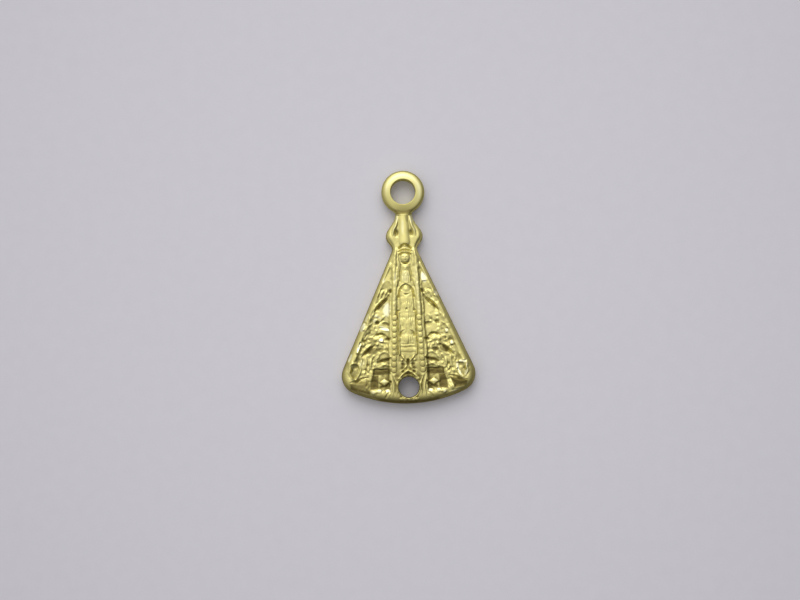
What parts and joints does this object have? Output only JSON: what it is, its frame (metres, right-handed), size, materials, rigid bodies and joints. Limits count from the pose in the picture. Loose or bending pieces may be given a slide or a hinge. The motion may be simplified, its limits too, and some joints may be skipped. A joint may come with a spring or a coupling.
{
  "type": "religious medal",
  "caption": "Struck brass devotional medal: a mantled, crowned figure in relief on a triangular plate, with a brazed hanging ring at the top and a drilled hole near the hem.",
  "frame": {"origin": "middle of the medal's length and width, on the plane of its flat back", "axes": "+X to the viewer's right, +Y from the hem to the ring, +Z out of the struck face"},
  "size_m": [0.0114, 0.02, 0.0019],
  "materials": {
    "struck_brass": "struck and tumbled, pale gold, darker in the recesses",
    "ring_brass": "polished, pale gold",
    "braze_metal": "flowed braze, slightly paler than the brass"
  },
  "bodies": {
    "root": {"struck_body": "struck_brass", "hanging_ring": "ring_brass", "braze_fillet": "braze_metal"}
  },
  "joints": []
}
